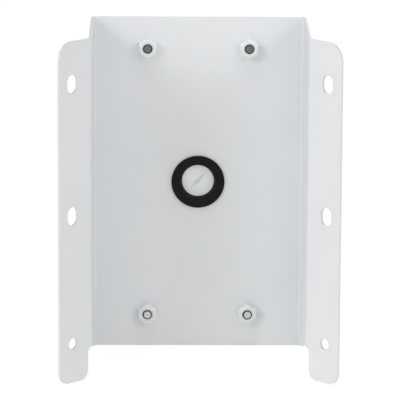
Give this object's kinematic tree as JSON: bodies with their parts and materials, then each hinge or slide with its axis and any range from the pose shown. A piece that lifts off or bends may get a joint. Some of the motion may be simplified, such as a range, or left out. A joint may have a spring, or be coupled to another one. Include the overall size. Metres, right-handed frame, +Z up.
{
  "type": "camera corner mount bracket",
  "caption": "White folded sheet bracket that holds a security camera on a building's outside corner, with slotted side flanges and a cable grommet in its plate.",
  "frame": {"origin": "middle of the camera's bolt pattern on the plate's outer face, which is also the centre of the cable grommet's hole", "axes": "+Y points away from the building, out of the plate's outer face; +Z is up along the folds; +X is to the right for someone looking at the open wall side"},
  "size_m": [0.2104, 0.1292, 0.26],
  "materials": {
    "white_coat": "satin powder coat on steel sheet",
    "nut_coat": "powder coat over weld nuts",
    "bolt_steel": "plain stainless steel",
    "washer_steel": "plain stainless steel",
    "black_rubber": "moulded black rubber",
    "grey_rubber": "thin light grey rubber"
  },
  "bodies": {
    "root": {"corner_plate": "white_coat", "weld_nuts": "nut_coat", "hex_bolts": "bolt_steel", "spring_washers": "washer_steel", "flat_washers": "washer_steel", "cable_grommet": "black_rubber", "slit_membrane": "grey_rubber"}
  },
  "joints": []
}
